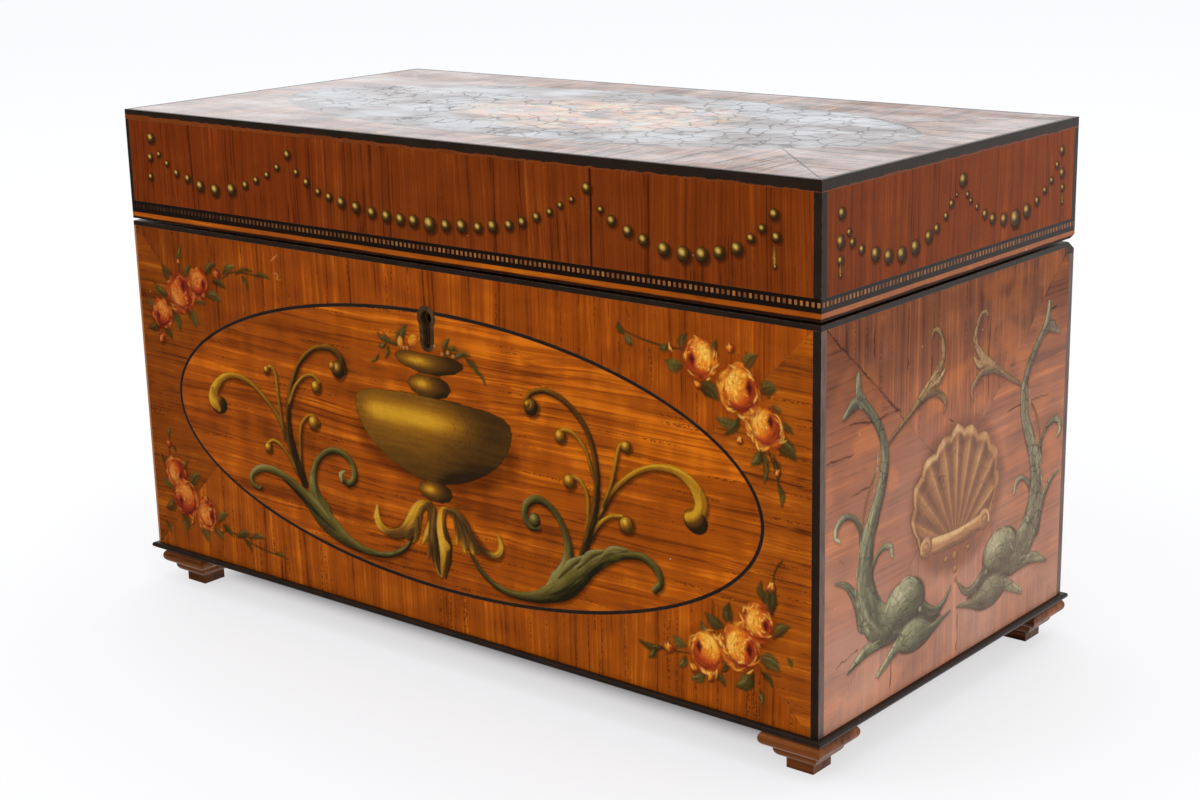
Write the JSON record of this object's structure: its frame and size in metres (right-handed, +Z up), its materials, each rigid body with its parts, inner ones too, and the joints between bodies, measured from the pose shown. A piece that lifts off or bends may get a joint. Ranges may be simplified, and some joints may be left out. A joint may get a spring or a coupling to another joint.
{
  "type": "painted box with a hinged lid",
  "caption": "Long wooden box with veneered and painted faces, a flat hinged lid, a box lock behind a keyhole inlay and square moulded feet.",
  "frame": {"origin": "on the floor, under the middle of the box", "axes": "+X to the right along the front, +Y to the back, +Z up; the keyhole is on the -Y side"},
  "size_m": [0.308, 0.1568, 0.1817],
  "materials": {
    "satinwood": "polished, golden, streaked",
    "crossbanding": "polished, grain across the border",
    "lid_satinwood": "polished, red-brown",
    "side_satinwood": "polished, pinkish brown",
    "ebony": "polished black stringing",
    "chequer": "polished, light and dark chequers",
    "carcass_wood": "plain, oiled",
    "foot_wood": "polished, red-brown",
    "escutcheon_brass": "dull and darkened",
    "brass": "aged, satin",
    "steel": "aged, satin",
    "lining": "short pile"
  },
  "bodies": {
    "box": {"front_board": "carcass_wood", "back_board": "carcass_wood", "left_board": "carcass_wood", "right_board": "carcass_wood", "bottom_board": "carcass_wood", "base_moulding": "ebony", "front_oval_panel": "satinwood", "front_oval_string": "ebony", "front_top_band": "crossbanding", "front_bottom_band": "crossbanding", "front_left_band": "crossbanding", "front_right_band": "crossbanding", "left_side_veneers": "side_satinwood", "right_side_veneers": "side_satinwood", "back_veneer": "side_satinwood", "base_corner_strings": "ebony", "rim_edging": "ebony", "keyhole_escutcheon": "escutcheon_brass", "base_floor_lining": "lining", "base_wall_linings": "lining", "lock_plate": "brass", "lock_cap": "brass", "lock_drill_pin": "steel", "lock_screws": "brass", "base_hinge_screws": "brass", "front_left_foot": "foot_wood", "front_right_foot": "foot_wood", "back_left_foot": "foot_wood", "back_right_foot": "foot_wood", "left_hinge_base_leaf": "brass", "right_hinge_base_leaf": "brass", "left_hinge_pin": "steel", "right_hinge_pin": "steel"},
    "lid": {"lid_top_board": "carcass_wood", "lid_front_rail": "carcass_wood", "lid_back_rail": "carcass_wood", "lid_left_rail": "carcass_wood", "lid_right_rail": "carcass_wood", "top_oval_panel": "lid_satinwood", "top_oval_string": "ebony", "top_back_band": "lid_satinwood", "top_front_band": "lid_satinwood", "top_left_band": "lid_satinwood", "top_right_band": "lid_satinwood", "lid_front_veneer": "lid_satinwood", "lid_back_veneer": "lid_satinwood", "lid_left_veneer": "lid_satinwood", "lid_right_veneer": "side_satinwood", "lid_corner_strings": "ebony", "top_edging": "ebony", "lid_chequer_string": "chequer", "lid_lower_band": "crossbanding", "lid_top_lining": "lining", "lid_wall_linings": "lining", "lock_link_plate": "brass", "link_plate_screws": "brass", "lid_hinge_screws": "brass", "left_hinge_lid_leaf": "brass", "right_hinge_lid_leaf": "brass"},
    "bolt": {"lock_bolt": "steel"}
  },
  "joints": [
    {"name": "lid_hinge", "type": "hinge", "parent": "box", "child": "lid", "pos_m": [0, 0.07535, 0.141], "axis": [-1, 0, 0], "range_deg": [0, 95]},
    {"name": "bolt_slide", "type": "slide", "parent": "box", "child": "bolt", "axis": [1, 0, 0], "range_m": [0, 0.005]}
  ]
}
